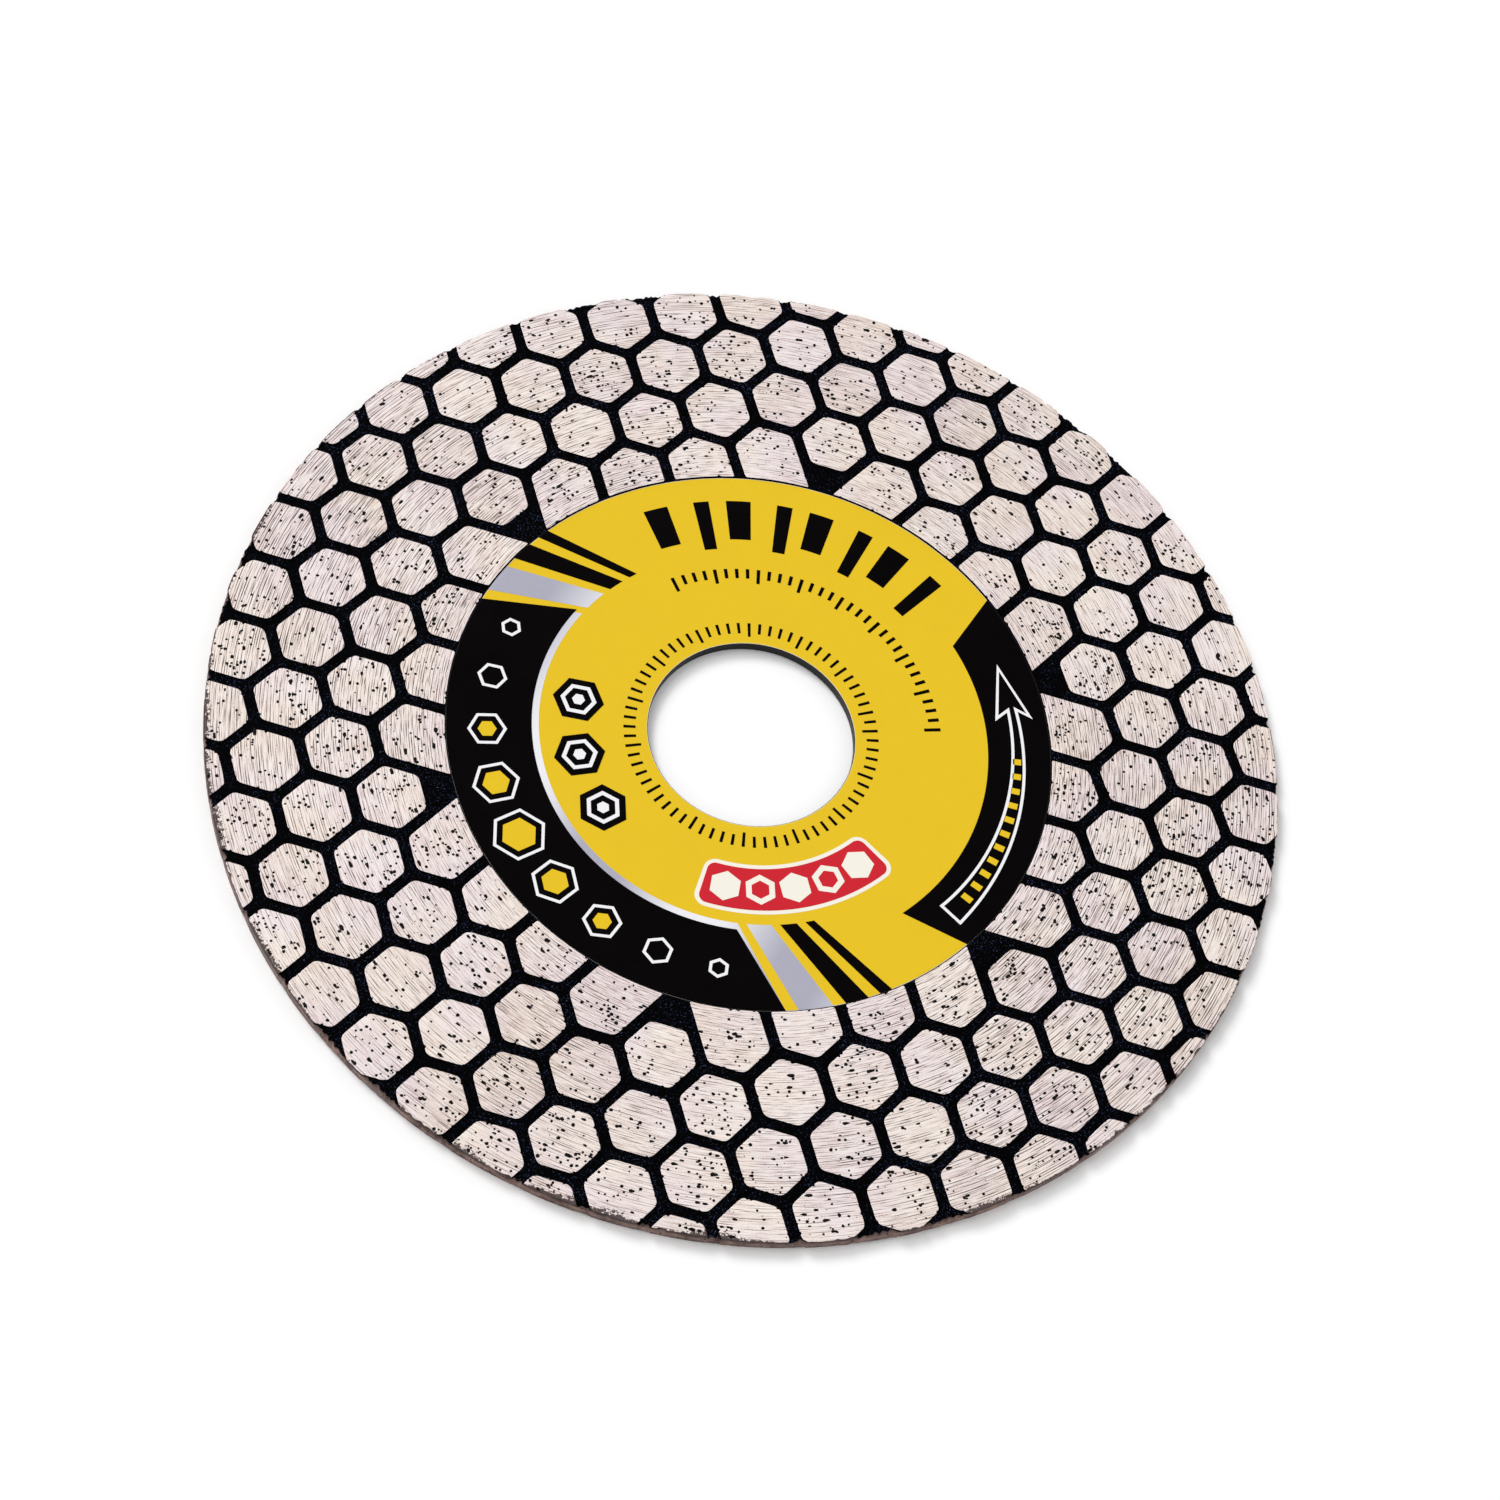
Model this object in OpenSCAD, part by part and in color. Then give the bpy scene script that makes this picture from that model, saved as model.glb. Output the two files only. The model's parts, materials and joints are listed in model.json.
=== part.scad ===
// Double-sided hexagon-pad diamond blade for an angle grinder.
// It lies flat: +Z is the spindle axis, the label looks up, and the back pads rest on z = 0.

/* [Rim] */
// Diameter over the cutting edge
blade_d = 115; // [105:1:125]
// Radial height of the diamond rim
rim_h = 25; // [20:0.5:27]
// Thickness over the pads of both faces
rim_thick = 1.6; // [1.5:0.05:2.4]

/* [Steel core] */
// Bore for the grinder's flange
bore_d = 22.23; // [15.88:0.01:25.4]
// Thickness of the steel, and of the sintered web that carries it on
core_thick = 1.1; // [0.8:0.05:1.3]
// Number of keys that lock the rim to the core
key_count = 24; // [12:2:36]
// How far a key reaches into the rim
key_reach = 1.8; // [1:0.1:3]
// Width of a key at the core
key_neck_w = 2.6; // [1.5:0.1:3.5]
// How much wider a key is at its tip
key_flare = 1; // [0:0.1:1.5]
// Thickness of sinter over the keys on each face
key_cover = 0.2; // [0.1:0.05:0.3]

/* [Pads] */
// Distance between the centres of neighbouring pads
pad_pitch = 7.83; // [7.5:0.01:8]
// Width of the groove between two pads
groove_w = 1.12; // [0.8:0.02:1.6]
// Radius of a pad's corners
pad_corner_r = 0.7; // [0.3:0.05:1]

/* [Paint and label] */
// Thickness of the black coat on the groove floor
coat_thick = 0.05; // [0.02:0.01:0.08]
// Thickness of the label
label_thick = 0.1; // [0.05:0.01:0.12]
// Ring of core that stays bare between the label and the rim
label_edge_gap = 0.1; // [0.05:0.05:1]
// Ring of core that stays bare around the bore
label_bore_gap = 0.25; // [0.05:0.05:1.5]

/* [Hidden] */
$fn = 180;

blade_r = blade_d / 2;
rim_inner_r = blade_r - rim_h;
pad_h = (rim_thick - core_thick) / 2;
core_z = pad_h;
core_top_z = core_z + core_thick;
key_thick = core_thick - 2 * key_cover;
pad_flat_r = (pad_pitch - groove_w) / 2;
pad_tip_r = pad_flat_r / cos(30);
corner_steps = 2;
cut_over = 1;

steel_black = [0.10, 0.10, 0.12];
sinter_bronze = [0.42, 0.31, 0.24];
coat_black = [0.04, 0.04, 0.07];
label_yellow = [0.91, 0.76, 0.12];
pad_colour = [0.83, 0.76, 0.72];

function polar(r, angle) = r * [cos(angle), sin(angle)];

// A pad is [row, place]. Rows count outwards from the blade's centre, and places run from 0, on
// one of the six main directions, to row - 1, just before the next. Each list below holds the
// pads of one sixth of a face, and at_pads() turns it round the other five.
function pad_xy(pad) = pad_pitch * [pad[0] - pad[1] / 2, pad[1] * sin(60)];
function tip_radii(pad) = [for (a = [30 : 60 : 330]) norm(pad_xy(pad) + polar(pad_tip_r, a))];

// The first row whose pad on a main direction lies wholly in the rim
inner_row = ceil((rim_inner_r + pad_flat_r) / pad_pitch);
second_row = inner_row + 1;
last_row = ceil((blade_r + pad_tip_r) / (pad_pitch * cos(30)));
// A pad that would reach in past the cutting edge by less than this is left out
least_reach = 1;

gap_pads = [[inner_row, 0]];
inner_pads = [for (place = [2 : inner_row - 2]) [inner_row, place]];
inner_flank_pads = [[inner_row, 1], [inner_row, inner_row - 1]];
second_row_corner_pads = [[second_row, 0]];
second_row_pads = [for (place = [1 : second_row - 1]) [second_row, place]];
outer_pads = [for (row = [second_row + 1 : last_row], place = [0 : row - 1]) [row, place]];
third_row_pads = [for (pad = outer_pads) if (max(tip_radii(pad)) <= blade_r) pad];
edge_pads = [for (pad = outer_pads)
    if (max(tip_radii(pad)) > blade_r && norm(pad_xy(pad)) <= blade_r) pad];
edge_sliver_pads = [for (pad = outer_pads)
    if (norm(pad_xy(pad)) > blade_r && min(tip_radii(pad)) < blade_r - least_reach) pad];

// The arc that rounds a 120 degree pad corner whose tip points at this angle
function corner_arc(angle) = [for (s = [0 : corner_steps])
    polar(pad_tip_r - pad_corner_r / cos(30), angle)
        + polar(pad_corner_r, angle - 30 + s * 60 / corner_steps)];

module pad_outline() {
    polygon([for (a = [30 : 60 : 330], p = corner_arc(a)) p]);
}

// A pad of the inner row: its two flanks run straight on inwards, past the rim's inner circle
module inner_pad_outline() {
    inward = polar(rim_h, 210);
    polygon(concat(corner_arc(330), corner_arc(30), corner_arc(90),
        [polar(pad_tip_r, 90) + inward, polar(pad_tip_r, 330) + inward]));
}

module at_pads(pads) {
    for (sector = [0 : 5], pad = pads)
        rotate(60 * sector) translate(pad_xy(pad)) children();
}

module ring(outer_r, inner_r, h) {
    difference() {
        cylinder(h = h, r = outer_r);
        translate([0, 0, -cut_over]) cylinder(h = h + 2 * cut_over, r = inner_r);
    }
}

module on_front() {
    translate([0, 0, core_top_z]) children();
}

module on_back() {
    mirror([0, 0, 1]) translate([0, 0, -core_z]) children();
}

// Pads of one list, trimmed by the cutting edge and by the rim's inner circle
module pads(list) {
    color(pad_colour) intersection() {
        at_pads(list) linear_extrude(pad_h) pad_outline();
        ring(blade_r, rim_inner_r, pad_h);
    }
}

module long_pads(list) {
    color(pad_colour) intersection() {
        at_pads(list) linear_extrude(pad_h) inner_pad_outline();
        ring(blade_r, rim_inner_r, pad_h);
    }
}

// Dovetail keys on the core's edge, buried in the web; sunk_in lets them overlap the core
module keys() {
    sunk_in = 0.5;
    tip_w = key_neck_w + key_flare;
    for (k = [0 : key_count - 1]) rotate((k + 0.5) * 360 / key_count)
        translate([0, 0, key_cover]) linear_extrude(key_thick) polygon([
            [rim_inner_r - sunk_in, -key_neck_w / 2],
            [rim_inner_r + key_reach, -tip_w / 2],
            [rim_inner_r + key_reach, tip_w / 2],
            [rim_inner_r - sunk_in, key_neck_w / 2]]);
}

module steel_core() {
    color(steel_black) translate([0, 0, core_z]) {
        ring(rim_inner_r, bore_d / 2, core_thick);
        keys();
    }
}

module rim_web() {
    color(sinter_bronze) translate([0, 0, core_z]) difference() {
        ring(blade_r, rim_inner_r, core_thick);
        keys();
    }
}

// The coat covers the groove floor and leaves a window at the foot of every pad
module groove_coat() {
    color(coat_black) difference() {
        ring(blade_r, rim_inner_r, coat_thick);
        translate([0, 0, -cut_over]) linear_extrude(coat_thick + 2 * cut_over) {
            at_pads(concat(inner_pads, inner_flank_pads)) inner_pad_outline();
            at_pads(concat(gap_pads, second_row_corner_pads, second_row_pads, third_row_pads,
                edge_pads, edge_sliver_pads)) pad_outline();
        }
    }
}

module front_label() {
    color(label_yellow) on_front()
        ring(rim_inner_r - label_edge_gap, bore_d / 2 + label_bore_gap, label_thick);
}

module front_groove_coat() { on_front() groove_coat(); }
module back_groove_coat() { on_back() groove_coat(); }

module front_gap_pads() { on_front() pads(gap_pads); }
module front_inner_pads() { on_front() long_pads(inner_pads); }
module front_inner_flank_pads() { on_front() long_pads(inner_flank_pads); }
module front_second_row_corner_pads() { on_front() pads(second_row_corner_pads); }
module front_second_row_pads() { on_front() pads(second_row_pads); }
module front_third_row_pads() { on_front() pads(third_row_pads); }
module front_edge_pads() { on_front() pads(edge_pads); }
module front_edge_sliver_pads() { on_front() pads(edge_sliver_pads); }

module back_gap_pads() { on_back() pads(gap_pads); }
module back_inner_pads() { on_back() long_pads(inner_pads); }
module back_inner_flank_pads() { on_back() long_pads(inner_flank_pads); }
module back_second_row_corner_pads() { on_back() pads(second_row_corner_pads); }
module back_second_row_pads() { on_back() pads(second_row_pads); }
module back_third_row_pads() { on_back() pads(third_row_pads); }
module back_edge_pads() { on_back() pads(edge_pads); }
module back_edge_sliver_pads() { on_back() pads(edge_sliver_pads); }

steel_core();
rim_web();
front_groove_coat();
back_groove_coat();
front_label();
front_gap_pads();
front_inner_pads();
front_inner_flank_pads();
front_second_row_corner_pads();
front_second_row_pads();
front_third_row_pads();
front_edge_pads();
front_edge_sliver_pads();
back_gap_pads();
back_inner_pads();
back_inner_flank_pads();
back_second_row_corner_pads();
back_second_row_pads();
back_third_row_pads();
back_edge_pads();
back_edge_sliver_pads();
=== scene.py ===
import json
import math
import random

import bpy
import numpy as np
from mathutils import Matrix, Vector, noise


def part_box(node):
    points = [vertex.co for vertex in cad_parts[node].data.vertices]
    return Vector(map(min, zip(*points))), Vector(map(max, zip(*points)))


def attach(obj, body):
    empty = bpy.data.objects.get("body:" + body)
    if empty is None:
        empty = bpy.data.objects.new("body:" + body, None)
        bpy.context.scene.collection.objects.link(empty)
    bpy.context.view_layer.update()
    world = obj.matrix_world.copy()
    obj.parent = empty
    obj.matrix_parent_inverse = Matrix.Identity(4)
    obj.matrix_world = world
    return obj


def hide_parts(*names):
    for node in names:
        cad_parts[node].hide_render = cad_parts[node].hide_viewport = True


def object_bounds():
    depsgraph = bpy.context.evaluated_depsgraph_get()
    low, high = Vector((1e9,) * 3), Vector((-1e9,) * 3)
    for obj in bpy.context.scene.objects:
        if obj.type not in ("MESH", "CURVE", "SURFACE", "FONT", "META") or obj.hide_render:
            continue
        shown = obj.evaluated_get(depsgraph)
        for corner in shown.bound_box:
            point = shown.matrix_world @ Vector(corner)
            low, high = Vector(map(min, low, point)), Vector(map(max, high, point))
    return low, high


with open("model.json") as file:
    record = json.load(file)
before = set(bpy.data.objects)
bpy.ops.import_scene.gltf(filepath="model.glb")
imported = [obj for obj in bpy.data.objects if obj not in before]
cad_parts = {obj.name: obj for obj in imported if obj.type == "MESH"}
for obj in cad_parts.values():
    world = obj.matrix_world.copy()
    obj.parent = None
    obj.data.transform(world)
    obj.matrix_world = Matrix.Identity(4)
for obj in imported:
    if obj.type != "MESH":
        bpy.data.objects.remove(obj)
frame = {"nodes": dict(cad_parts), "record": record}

mm = 0.001
scene = bpy.context.scene
cadBox = [list(corner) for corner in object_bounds()]

# Sizes that several pieces share, in metres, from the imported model.
webLow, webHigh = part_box("rim_web")
labelLow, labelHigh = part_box("front_label")
bladeTop = cadBox[1][2]
bladeR = webHigh.x
labelOuterR = labelHigh.x
boreR = [m for m in frame["record"]["mounts"] if m["name"] == "bore"][0]["dims"]["r_mm"] * mm
onEdgeR = bladeR - 0.03 * mm  # an outline's points outside this radius lie on the cutting edge
wornFromR = bladeR - 1 * mm  # wear reaches in no further than this
markedR = 0.8 * bladeR  # where a turning mark has the length that its finish gives


def tint(code):  # "dfd1cc" as a linear colour
    parts = [int(code[i:i + 2], 16) / 255 for i in (0, 2, 4)]
    return tuple(c / 12.92 if c <= 0.04045 else ((c + 0.055) / 1.055) ** 2.4 for c in parts) + (1.0,)


def put(tree, kind, sockets=None, **settings):
    node = tree.nodes.new("ShaderNode" + kind)
    for name, value in settings.items():
        setattr(node, name, value)
    for name, value in (sockets or {}).items():
        if isinstance(value, bpy.types.NodeSocket):
            tree.links.new(value, node.inputs[name])
        else:
            node.inputs[name].default_value = value
    return node


def calc(tree, operation, first, second=0.0, clamp=False):
    node = put(tree, "Math", {0: first, 1: second}, operation=operation, use_clamp=clamp)
    return node.outputs[0]


def times(tree, first, second):
    return calc(tree, "MULTIPLY", first, second)


def total(tree, *values, clamp=False):
    result = values[0]
    for index, value in enumerate(values[1:], 2):
        result = calc(tree, "ADD", result, value, clamp and index == len(values))
    return result


def noiseAt(tree, vector, scale, detail, roughness=0.5):
    sockets = {"Vector": vector, "Scale": scale, "Detail": detail, "Roughness": roughness}
    return put(tree, "TexNoise", sockets).outputs["Fac"]


def spread(tree, value, low, high, newLow=0.0, newHigh=1.0):
    sockets = {"Value": value, "From Min": low, "From Max": high, "To Min": newLow, "To Max": newHigh}
    return put(tree, "MapRange", sockets).outputs[0]


def blend(tree, factor, first, second, mode="MIX"):  # a colour is a socket or a code
    first, second = [tint(side) if isinstance(side, str) else side for side in (first, second)]
    sockets = {0: factor, 6: first, 7: second}
    return put(tree, "Mix", sockets, data_type="RGBA", blend_type=mode).outputs[2]


def addObject(name, data):
    added = bpy.data.objects.new(name, data)
    scene.collection.objects.link(added)
    return added


def startFinish(name, look):
    material = bpy.data.materials.new(name)
    material.use_nodes = True
    tree = material.node_tree
    shader = tree.nodes["Principled BSDF"]
    shader.inputs["Roughness"].default_value = look["roughness"]
    shader.inputs["Metallic"].default_value = look.get("metallic", 0.0)
    shader.inputs["Specular IOR Level"].default_value = look["specular"]
    return material, tree, shader


def endFinish(tree, shader, colour, height, depth, strength=1.0):  # depth of the relief in metres
    tree.links.new(colour, shader.inputs["Base Color"])
    bump = put(tree, "Bump", {"Height": height, "Distance": depth, "Strength": strength})
    tree.links.new(bump.outputs[0], shader.inputs["Normal"])


def placeAt(tree):
    return put(tree, "TexCoord").outputs["Object"]


def roundTheBlade(tree):
    # a point's place, distance from the spindle axis, height, and direction as cosine and sine
    place = placeAt(tree)
    x, y, height = put(tree, "SeparateXYZ", {0: place}).outputs
    radius = calc(tree, "SQRT", total(tree, calc(tree, "POWER", x, 2.0), calc(tree, "POWER", y, 2.0)))
    return place, radius, height, (calc(tree, "DIVIDE", x, radius), calc(tree, "DIVIDE", y, radius))


def facing(tree, direction, degrees):
    # 1 on the side of the blade that lies this way, -1 on the opposite one
    side = math.radians(degrees)
    cosine, sine = direction
    return total(tree, times(tree, cosine, math.cos(side)), times(tree, sine, math.sin(side)))


def turningMarks(tree, direction, across, length, width, detail, roughness):
    # noise drawn out round the axis; across is the radius, or the height on the wall
    around = markedR / length
    sockets = {0: times(tree, direction[0], around), 1: times(tree, direction[1], around),
               2: times(tree, across, 1 / width)}
    vector = put(tree, "CombineXYZ", sockets).outputs[0]
    return noiseAt(tree, vector, 1.0, detail, roughness)


def scatteredDots(tree, place, cell, leftOut, rim, core):
    # round dots, fading from rim to core, in all cells but the share leftOut; cell is a cell's size
    dots = put(tree, "TexVoronoi", {"Vector": place, "Scale": 1 / cell})
    chance = put(tree, "SeparateColor", {0: dots.outputs["Color"]}).outputs[0]
    pick = calc(tree, "GREATER_THAN", chance, leftOut)
    return times(tree, pick, spread(tree, dots.outputs["Distance"], rim, core))


groundMatrix = {
    "ramp": (("fef8f6", 0.0), ("f2e6e3", 0.30), ("dccdc9", 0.52), ("a8948f", 0.74), ("463937", 1.0)),
    "cream": "f1f0eb",
    "mauve": "eeecf0",
    "creamDrift": 110.0,  # scale of the change from cream to mauve, per metre
    "pink": "f5e6da",
    "pinkDrift": 260.0,
    "pinkShare": 0.22,
    "waver": (300.0, 0.25 * mm),  # scale and width of the marks' waver
    "fineMark": (1.6 * mm, 0.06 * mm),  # length and width of a mark
    "fineTone": (-0.08, 0.32),  # how far it lightens and darkens
    "wideMark": (6 * mm, 0.4 * mm),
    "wideTone": (-0.06, 0.06),
    "cutMark": (2.2 * mm, 0.06 * mm),
    # cutDepth and hairDepth: mark depth on the shallow and the deep sides; the change between them is
    # painted sheen
    "cutDepth": (0.30, 0.44),  # along the shallow and the deep directions
    "hairlines": ((0.21 * mm, 16.0), (0.32 * mm, -16.0)),  # two sets: distance apart, and wander
    "hairWander": (8 * mm, 0.9 * mm),
    "hairLength": (2.4 * mm, 0.2 * mm),
    "hairDepth": (0.58, 1.0),
    # painted sheen: along this direction and its opposite the marks are deepest, across it the tone is
    # darker
    "paintedSheenAxis": -45,  # the marks are deepest along this direction and its opposite, in degrees
    "paintedSheenShade": 0.10,  # how much darker the shallow directions are
    "padTone": (-0.05, 0.07),
    "speckle": 0.1 * mm,
    "speckleTone": (-0.12, 0.12),
    "pinDot": 0.34 * mm,
    "pinsLeftOut": 0.93,
    "pinColour": "1c1716",
    "pinShare": 0.85,
    "pinDepth": 1.5,
    "burnt": "2a1411",
    "burntShare": 0.93,
    "burntWidth": 0.30 * mm,
    "burntFade": 0.12 * mm,
    "burntRagged": 2600.0,  # scale of the band's ragged limit, per metre
    "burntDrift": 130.0,  # scale at which it gets wider and narrower
    "burntSide": 215,  # direction in which the cutting edge is burnt most, in degrees
    "roughness": 0.6,
    "metallic": 0.15,
    "specular": 0.3,
    "depth": 0.006 * mm,
}


def groundMatrixFinish():
    look = groundMatrix
    material, tree, shader = startFinish("groundMatrix", look)
    place, radius, _, direction = roundTheBlade(tree)
    waverScale, waverWidth = look["waver"]
    wavyRadius = total(tree, radius, times(tree, noiseAt(tree, place, waverScale, 1.0), waverWidth))
    fine = turningMarks(tree, direction, wavyRadius, *look["fineMark"], 2.0, 0.6)
    wide = turningMarks(tree, direction, wavyRadius, *look["wideMark"], 2.0, 0.5)
    cuts = turningMarks(tree, direction, radius, *look["cutMark"], 1.0, 0.5)
    wander = turningMarks(tree, direction, radius, *look["hairWander"], 1.0, 0.5)
    present = turningMarks(tree, direction, radius, *look["hairLength"], 1.0, 0.5)
    # painted sheen: marks are deeper on two opposite sides and the sides between are darker, a bow-tie of
    # light; the tone changes from pad to pad
    across = calc(tree, "ABSOLUTE", facing(tree, direction, look["paintedSheenAxis"]))
    cutDepth = spread(tree, across, 0.5, 1.0, *look["cutDepth"])
    hairDepth = spread(tree, across, 0.5, 1.0, *look["hairDepth"])
    tone = put(tree, "Attribute", attribute_name="padTone").outputs["Fac"]
    speckle = noiseAt(tree, place, 1 / look["speckle"], 1.0)
    cutMarks = times(tree, spread(tree, cuts, 0.54, 0.66), cutDepth)
    waves = []
    for apart, turns in look["hairlines"]:
        phase = total(tree, times(tree, radius, math.tau / apart), times(tree, wander, turns))
        waves.append(calc(tree, "SINE", phase))
    hair = times(tree, spread(tree, total(tree, *waves), -0.2, 1.7), hairDepth)
    hair = times(tree, hair, spread(tree, present, 0.32, 0.6, 0.2, 1.0))
    mark = total(
        tree,
        spread(tree, fine, 0.36, 0.64, *look["fineTone"]),
        spread(tree, wide, 0.3, 0.7, *look["wideTone"]),
        spread(tree, tone, 0.0, 1.0, *look["padTone"]),
        # painted shade on the sides across the sheen's axis
        spread(tree, across, 0.0, 0.6, look["paintedSheenShade"], 0.0),
        spread(tree, speckle, 0.3, 0.7, *look["speckleTone"]),
        cutMarks,
        hair,
        clamp=True,
    )
    ramp = put(tree, "ValToRGB", {0: mark})
    stops = ramp.color_ramp.elements
    for index, (code, at) in enumerate(look["ramp"]):
        stop = stops[index] if index < 2 else stops.new(at)  # a new ramp has two stops
        stop.position = at
        stop.color = tint(code)
    # a broad drift between cream and mauve, and a smaller one towards pink
    broadDrift = spread(tree, noiseAt(tree, place, look["creamDrift"], 1.0), 0.38, 0.62)
    hue = blend(tree, broadDrift, look["cream"], look["mauve"])
    base = blend(tree, 1.0, ramp.outputs[0], hue, "MULTIPLY")
    drift = noiseAt(tree, place, look["pinkDrift"], 2.0)
    pinkness = spread(tree, drift, 0.35, 0.65, 0.0, look["pinkShare"])
    base = blend(tree, pinkness, base, look["pink"], "MULTIPLY")
    # pin dots of the finest grit
    pin = scatteredDots(tree, place, look["pinDot"], look["pinsLeftOut"], 0.26, 0.16)
    base = blend(tree, times(tree, pin, look["pinShare"]), base, look["pinColour"])
    # burnt, ragged band of uneven width along the cutting edge
    ragged = noiseAt(tree, place, look["burntRagged"], 4.0, 0.7)
    patches = spread(tree, noiseAt(tree, place, look["burntDrift"], 1.0), 0.36, 0.62, 0.3, 2.0)
    sided = spread(tree, facing(tree, direction, look["burntSide"]), -0.7, 0.8, 0.05, 1.2)
    fromEdge = calc(tree, "SUBTRACT", bladeR, radius)
    reach = spread(tree, ragged, 0.35, 0.75, 0.2 * look["burntWidth"], 2.1 * look["burntWidth"])
    reach = times(tree, reach, times(tree, patches, sided))
    burnt = spread(tree, calc(tree, "SUBTRACT", reach, fromEdge), 0.0, look["burntFade"])
    base = blend(tree, times(tree, burnt, look["burntShare"]), base, look["burnt"])
    relief = total(tree, mark, times(tree, pin, look["pinDepth"]))
    endFinish(tree, shader, base, times(tree, relief, -1.0), look["depth"])
    return material


groovePaint = {
    "black": "010101",
    "blue": "55608c",
    "blueShare": 0.8,
    "grain": 0.17 * mm,
    "patches": 300.0,  # scale of the patches with more grain, per metre
    "roughness": 0.55,
    "roughnessRange": (0.42, 0.6),
    "specular": 0.01,
    "depth": 0.012 * mm,
}


def groovePaintFinish():
    look = groovePaint
    material, tree, shader = startFinish("groovePaint", look)
    place = placeAt(tree)
    grain = noiseAt(tree, place, 1 / look["grain"], 2.0, 0.7)
    patches = noiseAt(tree, place, look["patches"], 3.0, 0.6)
    speck = times(tree, spread(tree, grain, 0.60, 0.72), spread(tree, patches, 0.40, 0.62, 0.2, 1.0))
    base = blend(tree, times(tree, speck, look["blueShare"]), look["black"], look["blue"])
    tree.links.new(spread(tree, patches, 0.3, 0.7, *look["roughnessRange"]), shader.inputs["Roughness"])
    endFinish(tree, shader, base, grain, look["depth"])
    return material


corePaint = {
    "black": "0d0d10",
    "rubbed": "33333a",
    "rubShare": 0.55,
    "flangeR": (14 * mm, 20 * mm),  # the ring that the clamping flange rubs
    "flangeFade": 1.5 * mm,
    "steel": "8e8d90",
    "ringMark": (30 * mm, 0.25 * mm),
    "scuffMark": (12 * mm, 0.12 * mm),
    "grain": 5200.0,  # scale of the grain, per metre
    "roughness": 0.42,
    "roughnessRange": (0.34, 0.52),
    "specular": 0.17,
    "depth": 0.008 * mm,
}


def corePaintFinish():
    look = corePaint
    material, tree, shader = startFinish("corePaint", look)
    place, radius, _, direction = roundTheBlade(tree)
    rings = turningMarks(tree, direction, radius, *look["ringMark"], 3.0, 0.6)
    grain = noiseAt(tree, place, look["grain"], 2.0, 0.6)
    # a faint rubbed ring where the clamping flange sits, and scuffs down to the steel
    inner, outer = look["flangeR"]
    ringIn = spread(tree, radius, inner, inner + look["flangeFade"])
    ringOut = spread(tree, radius, outer, outer - look["flangeFade"])
    rub = times(tree, times(tree, ringIn, ringOut), spread(tree, rings, 0.45, 0.7))
    base = blend(tree, times(tree, rub, look["rubShare"]), look["black"], look["rubbed"])
    base = blend(tree, spread(tree, grain, 0.55, 0.75, 0.0, 0.35), base, look["rubbed"])
    scuffs = turningMarks(tree, direction, radius, *look["scuffMark"], 2.0, 0.5)
    base = blend(tree, spread(tree, scuffs, 0.68, 0.8, 0.0, 0.5), base, look["steel"])
    tree.links.new(spread(tree, rings, 0.3, 0.7, *look["roughnessRange"]), shader.inputs["Roughness"])
    endFinish(tree, shader, base, total(tree, rings, times(tree, grain, 0.6)), look["depth"])
    return material


cuttingSinter = {
    "copper": "a08177",
    "brown": "4a322d",
    "clouds": 700.0,  # noise scales, per metre
    "grey": "75655f",
    "greyDrift": 90.0,
    "lines": (markedR / 8, 0.09 * mm),  # length and height of the lines round the wall
    "scorched": "2b1a17",
    "scorchedDepth": 0.42 * mm,  # how far the dark zone reaches down from the front face
    "scorchedRagged": 0.3 * mm,
    "grit": "1a1412",
    "gritCell": 0.55 * mm,
    "gritLeftOut": 0.45,
    "roughness": 0.55,
    "metallic": 0.2,
    "specular": 0.35,
    "depth": 0.03 * mm,
}


def cuttingSinterFinish():
    look = cuttingSinter
    material, tree, shader = startFinish("cuttingSinter", look)
    place, _, height, direction = roundTheBlade(tree)
    clouds = noiseAt(tree, place, look["clouds"], 4.0, 0.65)
    base = blend(tree, spread(tree, clouds, 0.35, 0.65), look["copper"], look["brown"])
    drift = noiseAt(tree, place, look["greyDrift"], 2.0)
    base = blend(tree, spread(tree, drift, 0.4, 0.65, 0.0, 0.6), base, look["grey"])
    lines = turningMarks(tree, direction, height, *look["lines"], 3.0, 0.6)
    base = blend(tree, spread(tree, lines, 0.5, 0.7, 0.0, 0.45), base, look["brown"])
    unevenHeight = total(tree, height, times(tree, clouds, look["scorchedRagged"]))
    scorchedFrom = bladeTop - look["scorchedDepth"] - 0.1 * mm
    scorch = spread(tree, unevenHeight, scorchedFrom, bladeTop - 0.05 * mm, 0.0, 0.9)
    base = blend(tree, scorch, base, look["scorched"])
    grit = scatteredDots(tree, place, look["gritCell"], look["gritLeftOut"], 0.26, 0.18)
    base = blend(tree, grit, base, look["grit"])
    relief = calc(tree, "SUBTRACT", total(tree, clouds, times(tree, lines, 0.4)), grit)
    endFinish(tree, shader, base, relief, look["depth"], 0.7)
    return material


diamondGrit = {
    "black": "040304",
    "grey": "120e0f",
    "clouds": 6000.0,  # noise scale, per metre
    "roughness": 0.4,
    "specular": 0.07,
    "depth": 0.01 * mm,
}


def diamondGritFinish():
    look = diamondGrit
    material, tree, shader = startFinish("diamondGrit", look)
    clouds = noiseAt(tree, placeAt(tree), look["clouds"], 1.0)
    base = blend(tree, spread(tree, clouds, 0.35, 0.7), look["black"], look["grey"])
    endFinish(tree, shader, base, clouds, look["depth"])
    return material


inks = {
    "mottle": 240.0,  # noise scales, per metre
    "grain": 9000.0,
    "depth": 0.01 * mm,
    "silverSweep": 190.0,  # how fast silver runs from grey to near white and back
    "silverDepth": 0.002 * mm,
}


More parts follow.
